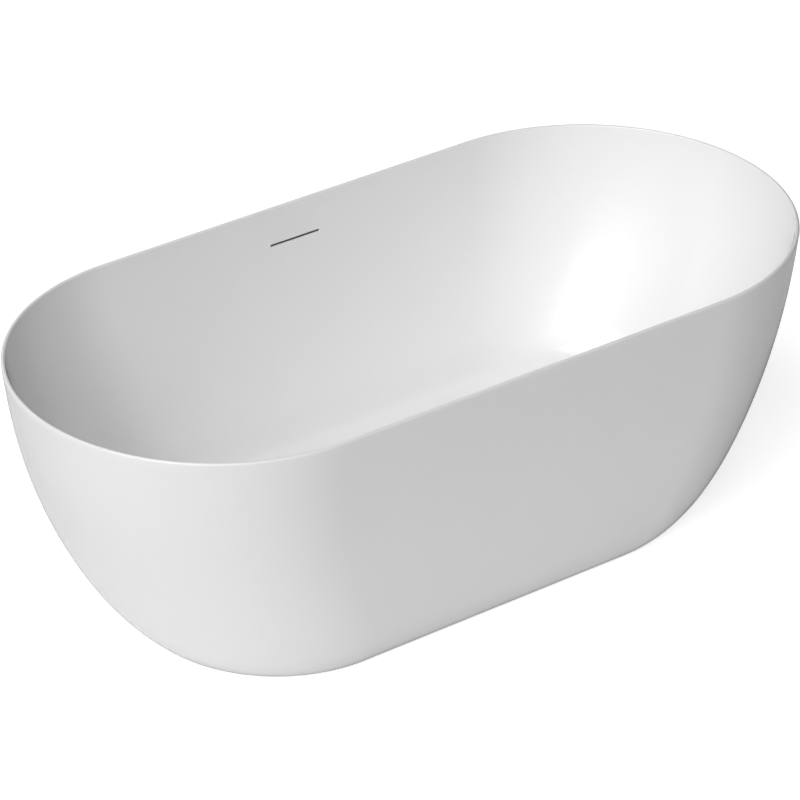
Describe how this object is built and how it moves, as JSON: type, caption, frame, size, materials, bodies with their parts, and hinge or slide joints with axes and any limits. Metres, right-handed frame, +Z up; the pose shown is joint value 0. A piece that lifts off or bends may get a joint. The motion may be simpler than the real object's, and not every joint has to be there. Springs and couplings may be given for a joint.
{
  "type": "freestanding bathtub",
  "caption": "Freestanding double-ended bathtub with a thin rim, tapering skirt, slot overflow, central push-open drain and levelling feet.",
  "frame": {"origin": "centre of the footprint, on the floor", "axes": "+X along the bath, +Y towards the overflow side, +Z up"},
  "size_m": [1.65, 0.8, 0.58],
  "materials": {
    "acrylic": "gloss white sanitary acrylic",
    "adhesive": "cured filled paste",
    "board": "raw plywood",
    "galvanised": "dull zinc coat",
    "zinc_screws": "bright zinc plate",
    "black_plastic": "fine moulded texture",
    "foam": "rigid closed-cell foam",
    "seal_rubber": "smooth rubber",
    "chamber_plastic": "moulded plastic",
    "hose_plastic": "ribbed flexible plastic",
    "clamp_steel": "sprung stainless band",
    "white_gloss_drain": "white coated drain to match the bath",
    "ivory_plastic": "moulded waste fitting",
    "stem_steel": "turned stainless rod"
  },
  "bodies": {
    "bath": {"basin_left": "acrylic", "basin_right": "acrylic", "outer_skirt": "acrylic", "rim_bond": "adhesive", "base_board": "board", "rail_front": "galvanised", "rail_rear": "galvanised", "rail_caps": "black_plastic", "cross_member_left": "galvanised", "cross_member_right": "galvanised", "weld_nuts": "galvanised", "lock_nuts": "zinc_screws", "board_screws": "zinc_screws", "skirt_brackets": "galvanised", "bracket_screws": "zinc_screws", "wall_spacers": "foam", "overflow_gasket": "seal_rubber", "overflow_box": "chamber_plastic", "overflow_hose": "hose_plastic", "hose_clamps": "clamp_steel", "drain_flange": "white_gloss_drain", "drain_seal_upper": "seal_rubber", "drain_seal_lower": "seal_rubber", "drain_lock_nut": "ivory_plastic", "drain_body": "ivory_plastic", "slip_nut": "ivory_plastic", "slip_washer": "seal_rubber", "tailpiece": "ivory_plastic", "plunger_guide": "ivory_plastic"},
    "foot_front_left": {"pad_front_left": "black_plastic"},
    "screw_front_left": {"stud_front_left": "zinc_screws"},
    "foot_front_right": {"pad_front_right": "black_plastic"},
    "screw_front_right": {"stud_front_right": "zinc_screws"},
    "foot_rear_left": {"pad_rear_left": "black_plastic"},
    "screw_rear_left": {"stud_rear_left": "zinc_screws"},
    "foot_rear_right": {"pad_rear_right": "black_plastic"},
    "screw_rear_right": {"stud_rear_right": "zinc_screws"},
    "stopper": {"plunger_stem": "stem_steel", "stopper_seal": "seal_rubber", "stopper_cap": "white_gloss_drain"}
  },
  "joints": [
    {"name": "level_front_left", "type": "slide", "parent": "bath", "child": "foot_front_left", "axis": [0, 0, -1], "range_m": [0, 0.02]},
    {"name": "turn_front_left", "type": "hinge", "parent": "foot_front_left", "child": "screw_front_left", "pos_m": [-0.401, -0.19, 0.05], "axis": [0, 0, -1], "range_deg": [0, 4114.29]},
    {"name": "level_front_right", "type": "slide", "parent": "bath", "child": "foot_front_right", "axis": [0, 0, -1], "range_m": [0, 0.02]},
    {"name": "turn_front_right", "type": "hinge", "parent": "foot_front_right", "child": "screw_front_right", "pos_m": [0.401, -0.19, 0.05], "axis": [0, 0, -1], "range_deg": [0, 4114.29]},
    {"name": "level_rear_left", "type": "slide", "parent": "bath", "child": "foot_rear_left", "axis": [0, 0, -1], "range_m": [0, 0.02]},
    {"name": "turn_rear_left", "type": "hinge", "parent": "foot_rear_left", "child": "screw_rear_left", "pos_m": [-0.401, 0.19, 0.05], "axis": [0, 0, -1], "range_deg": [0, 4114.29]},
    {"name": "level_rear_right", "type": "slide", "parent": "bath", "child": "foot_rear_right", "axis": [0, 0, -1], "range_m": [0, 0.02]},
    {"name": "turn_rear_right", "type": "hinge", "parent": "foot_rear_right", "child": "screw_rear_right", "pos_m": [0.401, 0.19, 0.05], "axis": [0, 0, -1], "range_deg": [0, 4114.29]},
    {"name": "stopper_lift", "type": "slide", "parent": "bath", "child": "stopper", "axis": [0, 0, 1], "range_m": [0, 0.009]}
  ],
  "couplings": [
    {"joint": "turn_front_left", "follows": "level_front_left", "rad_per_m": 3590.4},
    {"joint": "turn_front_right", "follows": "level_front_right", "rad_per_m": 3590.4},
    {"joint": "turn_rear_left", "follows": "level_rear_left", "rad_per_m": 3590.4},
    {"joint": "turn_rear_right", "follows": "level_rear_right", "rad_per_m": 3590.4}
  ]
}
